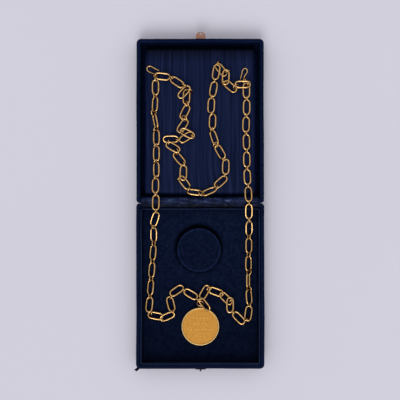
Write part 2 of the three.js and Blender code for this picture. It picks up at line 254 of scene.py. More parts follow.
world = bpy.data.worlds.new("pale_sky")
bpy.context.scene.world = world
world.use_nodes = True
sky_tree = world.node_tree
sky_tree.nodes["Background"].inputs["Strength"].default_value = 0.80
sky_direction = add_node(sky_tree, "ShaderNodeTexCoord").outputs["Generated"]
sky_height = add_node(sky_tree, "ShaderNodeSeparateXYZ", {0: sky_direction}).outputs["Z"]
sky_colour = ramp(sky_tree, sky_height, ((0.1, (0.22, 0.22, 0.25)), (0.75, (0.96, 0.95, 1.0))))
sky_tree.links.new(sky_colour, sky_tree.nodes["Background"].inputs["Color"])


# %% [markdown]
# ## Materials
# Three effects are shared. *Mottle* is a slow, soft change of a colour between two values, as on
# any old cloth or paper. *Grain* is a fine bump: pebbles on the covering, pile on the velvet,
# threads on the silk, depending on its scale along each axis. *Painted side shade* leaves a metal's
# colour alone where the surface looks up and takes it down to a darker side colour where the
# surface is steep. It is painted shade: the steep sides of round wires turn away from the light and
# mirror the dark box around them. It could be painted by hand, but the surface's own upward
# direction gives it on every link at once.

# %% Shared effects
def build_mottle():
    """Blends between two colours by soft noise in object space."""
    tree, start, end = new_group(
        "mottle",
        {"First": "NodeSocketColor", "Second": "NodeSocketColor",
         "Scale": "NodeSocketFloat", "Contrast": "NodeSocketFloat"},
        {"Color": "NodeSocketColor", "Mask": "NodeSocketFloat"},
    )
    patches = noise(tree, object_place(tree), start.outputs["Scale"], 4.0, 0.6)
    centred = add_node(tree, "ShaderNodeMath", {0: patches.outputs["Fac"], 1: 0.5},
                       operation="SUBTRACT")
    spread = add_node(tree, "ShaderNodeMath", {
        0: centred.outputs[0], 1: start.outputs["Contrast"], 2: 0.5,
    }, operation="MULTIPLY_ADD", use_clamp=True)
    colour = mix_colours(tree, spread.outputs[0], start.outputs["First"],
                         start.outputs["Second"])
    tree.links.new(colour, end.inputs["Color"])
    tree.links.new(spread.outputs[0], end.inputs["Mask"])
    return tree


def build_grain():
    """Bump normal and height from noise whose scale can differ along X, Y and Z."""
    tree, start, end = new_group(
        "grain",
        {"Scale": "NodeSocketVector", "Depth": "NodeSocketFloat",
         "Roughness": "NodeSocketFloat"},
        {"Normal": "NodeSocketVector", "Height": "NodeSocketFloat"},
    )
    stretched = vector_math(tree, "MULTIPLY", object_place(tree), start.outputs["Scale"])
    grains = noise(tree, stretched, 1.0, 3.0, start.outputs["Roughness"])
    bump = add_node(tree, "ShaderNodeBump", {
        "Strength": 1.0,
        "Distance": start.outputs["Depth"],
        "Height": grains.outputs["Fac"],
    })
    tree.links.new(bump.outputs["Normal"], end.inputs["Normal"])
    tree.links.new(grains.outputs["Fac"], end.inputs["Height"])
    return tree


def build_painted_side_shade():
    """Painted shade: darkens a colour by a side colour where the surface turns away from straight
    up.
    """
    tree, start, end = new_group(
        "painted_side_shade",
        {"Color": "NodeSocketColor", "Side": "NodeSocketColor"},
        {"Color": "NodeSocketColor", "Mask": "NodeSocketFloat"},
    )
    surface = add_node(tree, "ShaderNodeTexCoord")
    upward = add_node(tree, "ShaderNodeSeparateXYZ", {0: surface.outputs["Normal"]})
    # Painted shade mask: one where the surface looks up, falling to nought on steep sides.
    painted_light_mix = ramp(tree, upward.outputs["Z"], ((0.40, 0.0), (0.82, 1.0)))
    shade = mix_colours(tree, painted_light_mix, start.outputs["Side"], (1.0, 1.0, 1.0))
    tree.links.new(multiplied(tree, start.outputs["Color"], shade), end.inputs["Color"])
    tree.links.new(painted_light_mix, end.inputs["Mask"])
    return tree


mottle = build_mottle()
grain = build_grain()
painted_side_shade = build_painted_side_shade()
print("shared effects:", mottle.name, grain.name, painted_side_shade.name)


# %% [markdown]
# The covering is dark blue grained paper over board, nearly black in the shade. The thin collar
# inside the base has the same covering in a paler blue, and the torn flap at the base's corner is
# darker still. One function makes all three, because they differ in their two colours only.

# %% Covering
def make_covering(name, first, second):
    """Grained dark blue covering that varies between two colours in patches."""
    material, tree, shader = new_material(name, Roughness=0.5, Specular_IOR_Level=0.03)
    colour = use_group(tree, mottle, First=(*first, 1.0), Second=(*second, 1.0),
                       Scale=60.0, Contrast=2.0)
    pebbles = use_group(tree, grain, Scale=(1400.0, 1400.0, 1400.0), Depth=0.00012,
                        Roughness=0.6)
    feed(tree, shader, Base_Color=colour.outputs["Color"], Normal=pebbles.outputs["Normal"])
    return material


covering = make_covering("covering", (0.0012, 0.0040, 0.0190), (0.0032, 0.0085, 0.0340))
collar_covering = make_covering("collar_covering", (0.0050, 0.0105, 0.0340),
                                (0.0140, 0.0240, 0.0620))
torn_paper = make_covering("torn_paper", (0.0004, 0.0010, 0.0050), (0.0012, 0.0026, 0.0100))
print("finishes:", covering.name, collar_covering.name, torn_paper.name)


# %% [markdown]
# Velvet is a dark pile. Light catches the tips of the threads at a slant, which the sheen of the
# shader gives, and the pile lies in patches, which the mottle gives. It is painted darker towards
# the front of the base, as shade where the front wall keeps the light off. Light and shade are
# painted round the rest as well. A pale line round the edge of the rest is a painted highlight
# where the pile's sheen catches the light, and a dark crescent on the bed beside it is the rest's
# painted shadow. Both follow the distance from a middle, so each is a list of distances and
# brightnesses. A ramp holds nothing brighter than one, so the brightness goes in as a share of the
# brightest and is multiplied back after it.

# %% Velvet
# Range of distances and top brightness for the painted highlight and painted shadow round the rest.
PAINTED_LIGHT_REACH = 100.0
PAINTED_LIGHT_BRIGHTEST = 4.0


def make_velvet(name, middle, painted_light_rings):
    """Very dark blue pile, with painted light and shade round a middle: its last argument lists
    brightness at distances from that middle.
    """
    material, tree, shader = new_material(
        name, Roughness=0.95, Specular_IOR_Level=0.02,
        Sheen_Weight=0.03, Sheen_Roughness=0.4, Sheen_Tint=(0.25, 0.35, 0.8, 1.0))
    colour = use_group(tree, mottle, First=(0.0014, 0.0038, 0.0160, 1.0),
                       Second=(0.0062, 0.0115, 0.0350, 1.0), Scale=330.0, Contrast=2.4)
    # Painted shade: darker towards the front wall, which keeps the light off.
    towards_hinge = share_between(tree, object_axis(tree, "Y"), bed_low[1], bed_high[1])
    shade = ramp(tree, towards_hinge, ((0.0, 0.55), (0.5, 0.9), (1.0, 1.1)))
    # Painted highlight and shadow: brightness by distance from the middle.
    reach = share_between(tree, distance_from(tree, middle), 0.0, PAINTED_LIGHT_REACH)
    painted_light_share = ramp(tree, reach, [(distance / PAINTED_LIGHT_REACH, bright / PAINTED_LIGHT_BRIGHTEST)
                                      for distance, bright in painted_light_rings])
    brightest = (PAINTED_LIGHT_BRIGHTEST, PAINTED_LIGHT_BRIGHTEST, PAINTED_LIGHT_BRIGHTEST)
    painted_light_factor = vector_math(tree, "MULTIPLY", painted_light_share, brightest)
    shaded = multiplied(tree, colour.outputs["Color"], shade)
    shaded = multiplied(tree, shaded, painted_light_factor)
    pile = use_group(tree, grain, Scale=(2600.0, 2600.0, 2600.0), Depth=0.0002,
                     Roughness=0.7)
    feed(tree, shader, Base_Color=shaded, Normal=pile.outputs["Normal"])
    return material


DISC_MIDDLE = (disc_low[:2] + disc_high[:2]) / 2
DISC_RADIUS = (disc_high[0] - disc_low[0]) / 2
# Painted shadow of the rest: a dark crescent on the bed past the rest's far side, its middle moved
# towards the hinge.
bed_velvet = make_velvet("bed_velvet", DISC_MIDDLE + np.array([-0.3, 2.4]), (
    (DISC_RADIUS + 0.8, 0.1), (DISC_RADIUS + 2.6, 0.5), (DISC_RADIUS + 4.6, 1.0),
))
# Painted highlight: a pale line round the edge of the rest, where the pile's sheen catches the
# light.
rest_velvet = make_velvet("rest_velvet", DISC_MIDDLE, (
    (DISC_RADIUS - 1.3, 0.9), (DISC_RADIUS - 0.5, 2.2), (DISC_RADIUS + 0.1, 2.2),
    (DISC_RADIUS + 0.4, 0.3),
))
print("finishes:", bed_velvet.name, rest_velvet.name)


# %% [markdown]
# Watered silk has fine ribs that were pressed against each other, which leaves wavy lines like the
# grain of wood. They run from the hinge to the front here. The pattern is noise that is stretched
# along Y and bent by a second, slower noise, and it changes the colour and the gloss together, as
# the pressed threads do. At the front of the lid the padding turns down behind the wall, and
# painted shade darkens the silk towards that edge, where the padding turns away from the light.

# %% Watered silk
def make_silk():
    """Dark blue silk with long wavy watermarks along Y."""
    material, tree, shader = new_material("watered_silk", Specular_IOR_Level=0.05)
    drift = noise(tree, object_place(tree), 22.0, 2.0)
    bend = vector_math(tree, "MULTIPLY", drift.outputs["Color"], (0.007, 0.0, 0.0))
    bent = vector_math(tree, "ADD", object_place(tree), bend)
    stretched = vector_math(tree, "MULTIPLY", bent, (560.0, 9.0, 9.0))
    streaks = noise(tree, stretched, 1.0, 4.0, 0.62)
    colour = ramp(tree, streaks.outputs["Fac"], (
        (0.32, (0.0016, 0.0044, 0.0230)),
        (0.50, (0.0040, 0.0092, 0.0390)),
        (0.70, (0.0130, 0.0215, 0.0760)),
    ))
    gloss = ramp(tree, streaks.outputs["Fac"], ((0.3, 0.62), (0.7, 0.42)))
    front = lining_high[1]
    # Painted shade: the silk darkens towards the front edge, where the padding turns away from the
    # light.
    from_front = share_between(tree, object_axis(tree, "Y"), front + 2.0, front - 14.0)
    painted_front_shade = ramp(tree, from_front, ((0.05, 0.02), (0.4, 0.5), (1.0, 1.0)))
    threads = use_group(tree, grain, Scale=(500.0, 3200.0, 500.0), Depth=0.00008,
                        Roughness=0.5)
    feed(tree, shader, Base_Color=multiplied(tree, colour, painted_front_shade), Roughness=gloss,
         Normal=threads.outputs["Normal"])
    return material


silk = make_silk()
print("finish:", silk.name)


# %% [markdown]
# The ribbon over the hinge is the same blue silk, creased and rubbed shiny where the lid bends it.
# Along its edge on the base it is painted dark: painted shadow where the collar keeps the light
# off. The tops of its creases carry painted glints in a paler blue, and the creases' own height
# says where they are.

# %% Hinge ribbon
def make_ribbon():
    """Blue silk ribbon with patches of gloss, painted glints on its creases and a painted shadow
    along its edge.
    """
    material, tree, shader = new_material("hinge_ribbon", Specular_IOR_Level=0.08)
    colour = use_group(tree, mottle, First=(0.0004, 0.0030, 0.0200, 1.0),
                       Second=(0.0100, 0.0210, 0.0720, 1.0), Scale=110.0, Contrast=4.5)
    gloss = ramp(tree, colour.outputs["Mask"], ((0.3, 0.5), (0.9, 0.24)))
    creases = use_group(tree, grain, Scale=(90.0, 420.0, 420.0), Depth=0.0008,
                        Roughness=0.5)
    from_edge = share_between(tree, object_axis(tree, "Y"), strip_low[1], strip_low[1] + 4.0)
    # Painted shadow: dark along the edge on the base, where the collar keeps the light off.
    painted_collar_shadow = ramp(tree, from_edge, ((0.15, 0.06), (0.5, 0.35), (1.0, 0.9)))
    shaded = multiplied(tree, colour.outputs["Color"], painted_collar_shadow)
    # Painted glints: a paler blue on the tops of the creases.
    painted_glint_mask = ramp(tree, creases.outputs["Height"], ((0.63, 0.0), (0.80, 1.0)))
    painted_light_mix = mix_colours(tree, painted_glint_mask, shaded, (0.07, 0.11, 0.24))
    feed(tree, shader, Base_Color=painted_light_mix, Roughness=gloss, Normal=creases.outputs["Normal"])
    return material


ribbon_silk = make_ribbon()
print("finish:", ribbon_silk.name)


# %% [markdown]
# Gold is a metal, so its colour is the colour of its reflections. The chain is polished and the
# medal is satin, with a fine brushed field. The catch is brass that has turned pink and dull. All
# four finishes are one function with other numbers, and all get painted shade on their steep sides.
# The rim and the relief of the medal stand proud of its field and have a paler colour, so its
# colour also changes with the height.

# %% Metals
FIELD_HEIGHT = 3.0
BRIGHT_FROM = 0.1
BRIGHT_FULL = 0.5


def make_metal(name, first, second, roughness, depth, side):
    """Metal of two mixed colours, with painted shade on its steep sides."""
    material, tree, shader = new_material(name, Metallic=1.0)
    colour = use_group(tree, mottle, First=(*first, 1.0), Second=(*second, 1.0),
                       Scale=350.0, Contrast=2.4)
    gloss = ramp(tree, colour.outputs["Mask"], (
        (0.2, roughness * 0.8),
        (0.8, roughness * 1.25),
    ))
    marks = use_group(tree, grain, Scale=(900.0, 900.0, 900.0), Depth=depth,
                      Roughness=0.6)
    shaded = use_group(tree, painted_side_shade, Color=colour.outputs["Color"], Side=(*side, 1.0))
    feed(tree, shader, Base_Color=shaded.outputs["Color"], Roughness=gloss,
         Normal=marks.outputs["Normal"])
    return material


def paler_where_proud(material, field_height, colour):
    """Gives a metal a paler colour where it stands proud of a height in millimetres."""
    tree = material.node_tree
    shader = tree.nodes["Principled BSDF"]
    before = shader.inputs["Base Color"].links[0].from_socket
    proud = share_between(tree, object_axis(tree, "Z"), field_height + BRIGHT_FROM,
                          field_height + BRIGHT_FULL)
    feed(tree, shader, Base_Color=mix_colours(tree, proud, before, colour))


# side is the colour of the painted shade on each metal's steep sides.
chain_gold = make_metal("chain_gold", (0.57, 0.31, 0.085), (0.89, 0.59, 0.25), 0.15, 0.000007,
                        side=(0.22, 0.08, 0.012))
satin_gold = make_metal("satin_gold", (0.52, 0.24, 0.040), (0.60, 0.30, 0.060), 0.42, 0.00003,
                        side=(0.7, 0.7, 0.7))
catch_brass = make_metal("catch_brass", (0.26, 0.12, 0.08), (0.42, 0.24, 0.18), 0.36, 0.00004,
                         side=(0.6, 0.6, 0.6))
dark_brass = make_metal("dark_brass", (0.015, 0.012, 0.012), (0.05, 0.035, 0.03), 0.5, 0.00004,
                        side=(0.6, 0.6, 0.6))
paler_where_proud(satin_gold, medal_low[2] + FIELD_HEIGHT, (0.80, 0.56, 0.24))
print("metals:", chain_gold.name, satin_gold.name, catch_brass.name, dark_brass.name)


# %% [markdown]
# ## Meshes from arrays
# Every piece is a grid of points worked out with numpy. One helper lists the quads between
# neighbours on such a grid, one adds a face over each end of a grid that is carried round,
# and one puts points and faces into a mesh and hands it to the frame.

# %% Mesh helpers
def grid_quads(rows, columns, close_rows=False, close_columns=False):
    """Quads between neighbours on a grid of points that is stored row by row."""
    row = np.arange(rows if close_rows else rows - 1)[:, None]
    column = np.arange(columns if close_columns else columns - 1)[None, :]
    next_row = (row + 1) % rows * columns
    next_column = (column + 1) % columns
    row = row * columns
    corners = (row + column, row + next_column, next_row + next_column, next_row + column)
    return np.stack(np.broadcast_arrays(*corners), axis=-1).reshape(-1, 4)


def lofted_faces(grid, first_reversed=True):
    """Faces of a grid that closes round its columns, with one face over each end.

    One of the two end faces lists its corners backwards, so that both look outward.
    """
    rows, around = grid.shape[:2]
    first = np.arange(around)[None, :]
    last = first + (rows - 1) * around
    if first_reversed:
        first = first[:, ::-1]
    else:
        last = last[:, ::-1]
    return [grid_quads(rows, around, close_columns=True), first, last]


def add_piece(name, points, face_groups, material, replaces=()):
    """A mesh object from points in millimetres and arrays of faces with equal corners."""
    points = np.asarray(points, dtype=float).reshape(-1, 3)
    corners = np.concatenate([group.ravel() for group in face_groups])
    sizes = np.concatenate([np.full(len(group), group.shape[1]) for group in face_groups])
    starts = np.concatenate([[0], np.cumsum(sizes)[:-1]])
    mesh = bpy.data.meshes.new(name)
    mesh.vertices.add(len(points))
    mesh.vertices.foreach_set("co", (points * MM).ravel())
    mesh.loops.add(len(corners))
    mesh.loops.foreach_set("vertex_index", corners.astype(np.int32))
    mesh.polygons.add(len(sizes))
    mesh.polygons.foreach_set("loop_start", starts.astype(np.int32))
    mesh.polygons.foreach_set("use_smooth", np.full(len(sizes), True))
    mesh.update(calc_edges=True)
    mesh.validate()
    mesh.materials.append(material)
    piece = bpy.data.objects.new(name, mesh)
    bpy.context.collection.objects.link(piece)
    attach(piece, "root")
    if replaces:
        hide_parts(*replaces)
    print(name, len(points), "points", len(sizes), "faces")
    return piece


print("mesh helpers ready")


# %% [markdown]
# ## The two trays
# Each half of the box is a tray of board. Its outline is a rectangle with rounded corners,
# and its section runs up the outer wall, over the rounded rim and down the inner wall. So
# the tray is one profile of insets and heights, carried round the outline.

# %% Rounded outlines
SIDE_STEPS = 26
CORNER_STEPS = 8


def rounded_outline(low, high, near_radius, far_radius, inset):
    """Points round a rectangle with quarter circles at its corners, shrunk by the inset.

    Each corner's circle keeps its middle while the inset is smaller than its radius, and
    past that it stays a tenth of a millimetre across. inset may be an array: the result
    has one row of points for each of its values.
    """
    inset = np.atleast_1d(inset)[:, None]
    turns = np.linspace(0, 1, CORNER_STEPS)
    parts = []
    corners = (
        (high[0], low[1], near_radius, -90.0, (-1, 1)),
        (high[0], high[1], far_radius, 0.0, (-1, -1)),
        (low[0], high[1], far_radius, 90.0, (1, -1)),
        (low[0], low[1], near_radius, 180.0, (1, 1)),
    )
    for x, y, radius, start, inward in corners:
        left = np.maximum(radius - inset, 0.1)
        middle_x = x + inward[0] * (inset + left)
        middle_y = y + inward[1] * (inset + left)
        angle = np.radians(start + 90.0 * turns)[None, :]
        parts.append(np.stack([middle_x + left * np.cos(angle),
                               middle_y + left * np.sin(angle)], axis=-1))
    rows = []
    along = np.linspace(0, 1, SIDE_STEPS + 1)[1:-1][None, :, None]
    for this, following in zip(parts, parts[1:] + parts[:1]):
        rows.append(this)
        rows.append(this[:, -1:] * (1 - along) + following[:, :1] * along)
    return np.concatenate(rows, axis=1)


def arc(middle, radius, start, end, steps=5):
    """Pairs (inset, height) on an arc, with the angles in degrees."""
    angle = np.radians(np.linspace(start, end, steps))
    return np.stack([middle[0] + radius * np.cos(angle),
                     middle[1] + radius * np.sin(angle)], axis=-1)


def carried_round(low, high, near_radius, far_radius, profile):
    """Grid of points: a profile of (inset, height) carried round a rounded rectangle."""
    outline = rounded_outline(low, high, near_radius, far_radius, profile[:, 0])
    height = np.broadcast_to(profile[:, 1][:, None, None], (*outline.shape[:2], 1))
    return np.concatenate([outline, height], axis=-1)


print("points round an outline:", 4 * (SIDE_STEPS - 1 + CORNER_STEPS))

# %% [markdown]
# Board under paper is never quite straight. A slow wave of a quarter of a millimetre along
# the walls, worked out from each point's place, keeps the edges from looking machined.


# %% Trays
UNDERSIDE_INSET = 6.0
LOWER_ROUND = 1.0
OUTER_ROUND = 1.3
INNER_ROUND = 0.9
FLOOR_REACH = 4.0


def board_wave(points, depth):
    """Moves points sideways by slow sines of their place along the other axis."""
    x, y = points[..., 0], points[..., 1]
    moved = points.copy()
    moved[..., 0] += depth * (np.sin(y / 23.0) + 0.6 * np.sin(y / 9.7 + 1.0))
    moved[..., 1] += depth * (np.sin(x / 17.0 + 0.5) + 0.5 * np.sin(x / 7.3))
    return moved


def make_tray(name, low, high, radii, node):
    """One half of the box: outer wall, rim, inner wall, floor and underside."""
    top = high[2]
    profile = np.concatenate([
        [[UNDERSIDE_INSET, 0.0]],
        arc((LOWER_ROUND, LOWER_ROUND), LOWER_ROUND, 270, 180),
        [[0.0, 5.0], [0.0, 10.0], [0.0, 15.0]],
        arc((OUTER_ROUND, top - OUTER_ROUND), OUTER_ROUND, 180, 90),
        arc((WALL - INNER_ROUND, top - INNER_ROUND), INNER_ROUND, 90, 0),
        [[WALL, 12.0], [WALL, FLOOR], [WALL + FLOOR_REACH, FLOOR]],
    ])
    grid = board_wave(carried_round(low, high, *radii, profile), 0.12)
    return add_piece(name, grid, lofted_faces(grid), covering, [node])


FRONT_RADIUS = 4.5
BACK_RADIUS = 3.2
BASE_SPREAD = np.array([0.8, 0.0, 0.0])
LID_SPREAD = np.array([0.5, 0.0, 0.0])
make_tray("base_covered", base_low, base_high + BASE_SPREAD, (FRONT_RADIUS, BACK_RADIUS),
          "base_tray")
make_tray("lid_covered", lid_low, lid_high + LID_SPREAD, (BACK_RADIUS, FRONT_RADIUS),
          "lid_tray")


# %% [markdown]
# At the front corner of the base the paper has come loose and a small torn flap of it
# sticks out. It is a thin sheet that bends away from the wall, with an uneven end.


# %% Torn flap
FLAP_THICKNESS = 0.45
FLAP_LENGTH = 3.0
FLAP_HEIGHT = 16.5


def make_flap():
    """A small torn flap of covering that bends out from the base's front corner."""
    along, up = np.meshgrid(np.linspace(0, 1, 12), np.linspace(0, 1, 8), indexing="ij")
    reach = 1 + 0.12 * np.sin(up * 9.0)
    x = base_low[0] + 3.2 - 2.2 * up - FLAP_LENGTH * reach * along
    y = base_low[1] - 0.6 + 1.9 * up - 2.8 * reach * along
    z = FLAP_HEIGHT + up - 2.5 * along**2
    outer = np.stack([x, y, z], axis=-1)
    inner = outer - np.array([0.0, 0.0, FLAP_THICKNESS])
    ring = np.concatenate([outer, inner[:, ::-1]], axis=1)
    faces = lofted_faces(ring, first_reversed=False)
    return add_piece("torn_flap", ring, faces, torn_paper)


make_flap()


# %% [markdown]
# A thin liner stands round the bed, a millimetre above the rim, where the lid closes over
# it. It is the same profile idea with a thin wall.

# %% Collar
COLLAR_THICKNESS = 1.4
COLLAR_CORNER = 2.0


def make_collar():
    """Thin upright liner inside the base, with a rounded upper edge."""
    bottom, top = collar_low[2], collar_high[2]
    half = COLLAR_THICKNESS / 2
    profile = np.concatenate([
        [[0.0, bottom], [0.0, (bottom + top) / 2]],
        arc((half, top - half), half, 180, 0, 9),
        [[COLLAR_THICKNESS, (bottom + top) / 2], [COLLAR_THICKNESS, bottom]],
    ])
    high = collar_high + BASE_SPREAD - np.array([0.0, 0.6, 0.0])
    grid = board_wave(carried_round(collar_low, high, COLLAR_CORNER, COLLAR_CORNER, profile), 0.1)
    quads = grid_quads(*grid.shape[:2], close_rows=True, close_columns=True)
    return add_piece("collar", grid, [quads], collar_covering, ["base_collar"])


make_collar()


# %% [markdown]
# ## Bed and lining
# A pad is a height over a rectangle: level in the middle, rounded down towards its edges,
# and wandering a little everywhere, because it is cloth over padding. The points of a plain
# grid that fall outside the rounded corners are pulled in to the outline. Round the top
# comes a skirt down to the floor of the tray.

# %% Pad
def edge_distance(x, y, half, radius):
    """Signed distance outside a rounded rectangle, and the outward direction there."""
    qx = np.abs(x) - (half[0] - radius)
    qy = np.abs(y) - (half[1] - radius)
    outside = np.hypot(np.maximum(qx, 0), np.maximum(qy, 0))
    distance = np.minimum(np.maximum(qx, qy), 0) + outside - radius
    safe = np.maximum(outside, 1e-6)
    return distance, np.sign(x) * np.maximum(qx, 0) / safe, np.sign(y) * np.maximum(qy, 0) / safe


def spaced(half, rounding, steps):
    """Places from -half to half, closer together over the rounded edges."""
    turn = np.linspace(0, np.pi / 2, 7)[:-1]
    edge = -half + rounding * (1 - np.cos(turn))
    middle = np.linspace(-half + rounding, half - rounding, steps)
    return np.concatenate([edge, middle, -edge[::-1]])


def make_pad(name, low, high, corner, rounding, relief, material, node, steps):
    """A cloth-covered pad: a rounded height field on a skirt that is closed below."""
    half = (high[:2] - low[:2]) / 2
    middle = (high[:2] + low[:2]) / 2
    x, y = np.meshgrid(spaced(half[0], rounding, steps[0]),
                       spaced(half[1], rounding, steps[1]))
    distance, out_x, out_y = edge_distance(x, y, half, corner)
    excess = np.maximum(distance, 0)
    x = x - out_x * excess
    y = y - out_y * excess
    inside = np.clip(-distance, 0, None)
    drop = rounding - np.sqrt(rounding**2 - np.clip(rounding - inside, 0, rounding) ** 2)
    z = high[2] - drop + relief(x, y, inside)
    top = np.stack([x + middle[0], y + middle[1], z], axis=-1)
    rows, columns = x.shape
    index = np.arange(rows * columns).reshape(rows, columns)
    rim = np.concatenate([index[0, :-1], index[:-1, -1], index[-1, :0:-1], index[:0:-1, 0]])
    points = top.reshape(-1, 3)
    skirt = points[rim].copy()
    skirt[:, 2] = low[2]
    lower = len(points) + np.arange(len(rim))
    walls = np.stack([rim, lower, np.roll(lower, -1), np.roll(rim, -1)], axis=-1)
    under = lower[::-1][None, :]
    quads = grid_quads(rows, columns)
    points = np.concatenate([points, skirt])
    piece = add_piece(name, points, [quads, walls, under], material, [node])
    return piece


def slow_noise(x, y, seed, sizes=(31.0, 17.0, 9.0)):
    """A sum of sines in turned directions, between about -1 and 1, with no repeats nearby."""
    total = np.zeros_like(x)
    for step, size in enumerate(sizes):
        angle = seed + 1.9 * step
        u = x * np.cos(angle) + y * np.sin(angle)
        v = -x * np.sin(angle) + y * np.cos(angle)
        total += np.sin(u / size * 2.1 + seed * 3) * np.cos(v / size * 1.7 + seed) / (step + 1.5)
    return total


print("pad helpers ready")

# %% [markdown]
# The bed is a card under velvet, laid in the base. Its velvet wanders slowly up and down and
# sinks where it meets the raised rest. Only its relief is its own: the pad gives the form.

# %% Velvet bed
def bed_relief(x, y, inside):
    """Slow unevenness of velvet on card, sunk in a soft ring round the rest."""
    centre = (disc_low + disc_high - bed_low - bed_high) / 2
    outside = np.hypot(x - centre[0], y - centre[1]) - DISC_RADIUS
    groove = 0.8 * np.exp(-((outside - 0.8) / 2.0) ** 2)
    return 0.12 * slow_noise(x, y, 1.3) - groove


make_pad("velvet_bed", bed_low, bed_high + BASE_SPREAD / 2, corner=2.0, rounding=1.0,
         relief=bed_relief, material=bed_velvet, node="base_bed",
         steps=(110, 150))


# %% [markdown]
# The lid is lined with silk over thicker padding, so it swells from its edges to its middle
# and has small puckers along the edges, where the silk is drawn over the card. It reaches a
# little past its solid towards the hinge and the front, so that no gap shows there.

# %% Silk lining
def lining_relief(x, y, inside):
    """Crown of the padding, its slow unevenness, and small puckers along the edges."""
    crown = 0.5 * (1 - np.exp(-inside / 14.0))
    puckers = 0.16 * np.exp(-inside / 5.0) * np.sin(x * 0.9 + y * 0.8 + 2 * slow_noise(x, y, 2.0))
    return crown - 0.3 + 0.15 * slow_noise(x, y, 0.4) + puckers


make_pad("silk_lining", lining_low - np.array([0.5, 1.9, 0.0]),
         lining_high + np.array([-0.6, 2.2, 0.0]), corner=4.5, rounding=5.5,
         relief=lining_relief, material=silk, node="lid_lining",
         steps=(90, 120))


# %% [markdown]
# ## Round rest
# A disc of card under velvet is raised on the bed. It is a profile turned round its middle,
# with a rounded edge.

# %% Turned shapes
FIELD_RINGS = 24


def turned(profile, middle, steps):
    """Grid of points: a profile of (radius, height) turned round a vertical line."""
    angle = np.linspace(0, 2 * np.pi, steps, endpoint=False)
    x = middle[0] + profile[:, :1] * np.cos(angle)
    y = middle[1] + profile[:, :1] * np.sin(angle)
    z = np.broadcast_to(middle[2] + profile[:, 1:], x.shape)
    return np.stack([x, y, z], axis=-1)


def make_disc():
    """Velvet rest with a rounded upper edge; its velvet paints a pale highlight line round that
    edge.
    """
    height = disc_high[2] - disc_low[2]
    across = np.linspace(0.02, 1, FIELD_RINGS) * (DISC_RADIUS - 2.2)
    field = np.stack([across, np.full(FIELD_RINGS, height - 0.12)], axis=-1)
    profile = np.concatenate([
        field,
        arc((DISC_RADIUS - 0.7, height - 1.0), 1.0, 90, 0, 9),
        [[DISC_RADIUS + 0.4, height / 2], [DISC_RADIUS + 0.5, 0.4], [DISC_RADIUS, 0.0],
         [0.4, 0.0]],
    ])
    grid = turned(profile[::-1], np.array([*DISC_MIDDLE, disc_low[2]]), 96)
    grid[..., 2] += 0.05 * slow_noise(grid[..., 0], grid[..., 1], 4.0, (9.0, 5.0))
    piece = add_piece("velvet_rest", grid, lofted_faces(grid), rest_velvet,
                      ["velvet_disc"])
    return piece


make_disc()


# %% [markdown]
# ## Ribbon over the hinge
# A ribbon is glued over the two back walls and curls down inside the lid. It is a section
# in Y and Z carried along X: flat over the walls, then a quarter turn down. Sines that cross
# it at a slant crease it, and a second layer below gives it a thickness.

# %% Ribbon
FLAT_LENGTH = 8.0
CURL_REACH = 1.9
CURL_DROP = 3.9
RIBBON_THICKNESS = 0.55
FLAT_SHARE = 0.9


def make_ribbon_strip():
    """Creased ribbon: a section in Y and Z carried along X."""
    x, across = np.meshgrid(np.linspace(strip_low[0], strip_high[0], 240),
                            np.linspace(0, 1, 26), indexing="ij")
    travelled = across * (FLAT_SHARE + 1)
    curl = np.clip(travelled - FLAT_SHARE, 0, 1) * np.pi / 2
    y = strip_low[1] + FLAT_LENGTH * np.clip(travelled, 0, FLAT_SHARE) / FLAT_SHARE
    y = y + CURL_REACH * np.sin(curl)
    z = strip_high[2] - 0.3 - CURL_DROP * (1 - np.cos(curl))
    creases = 0.30 * np.sin(x * 0.11 + y * 1.5 + 2.2 * np.sin(x * 0.053))
    creases = creases + 0.14 * np.sin(x * 0.41 - y * 1.3 + 1.0)
    z = z + creases * np.clip(across * 4, 0, 1)
    y = y + 0.35 * np.sin(x * 0.19) * (1 - across)
    upper = np.stack([x, y, z], axis=-1)
    lower = upper - np.array([0.0, 0.0, RIBBON_THICKNESS])
    lower[..., 1] -= 0.45 * np.sin(curl)
    ring = np.concatenate([upper, lower[:, ::-1]], axis=1)
    return add_piece("hinge_ribbon", ring, lofted_faces(ring, first_reversed=False),
                     ribbon_silk, ["hinge_strip"])


make_ribbon_strip()


# %% [markdown]
# ## Wire
# Links, rings and hooks are all round wire along a line. With the line's direction and one
# direction across it known at each point, the wire's surface is a circle round the line.

# %% Wire
def unit(vectors):
    """Vectors scaled to length one."""
    return vectors / np.linalg.norm(vectors, axis=-1, keepdims=True)


def circles_round(direction, across, sides):
    """Circles of radius one, square to each direction.

    They start at across, which is roughly square to the direction and is made exactly so.
    """
    across = unit(across - direction * np.sum(across * direction, axis=-1, keepdims=True))
    other = np.cross(direction, across)
    angle = np.linspace(0, 2 * np.pi, sides, endpoint=False)[:, None]
    return across[..., None, :] * np.cos(angle) + other[..., None, :] * np.sin(angle)


def wire_grid(line, across, radius, sides):
    """Circles of the given radius round each point of closed lines (..., steps, 3)."""
    direction = unit(np.roll(line, -1, axis=-2) - np.roll(line, 1, axis=-2))
    return line[..., None, :] + radius * circles_round(direction, across, sides)


def ring_grid(middle, radius, wire, first, second, steps=32, sides=12):
    """Grids of rings of round wire, each round its middle in the plane of two directions."""
    angle = np.linspace(0, 2 * np.pi, steps, endpoint=False)[:, None]
    line = middle + radius * (np.cos(angle) * first + np.sin(angle) * second)
    axis = np.cross(first, second) + 0 * line
    return wire_grid(line, axis, wire / 2, sides)


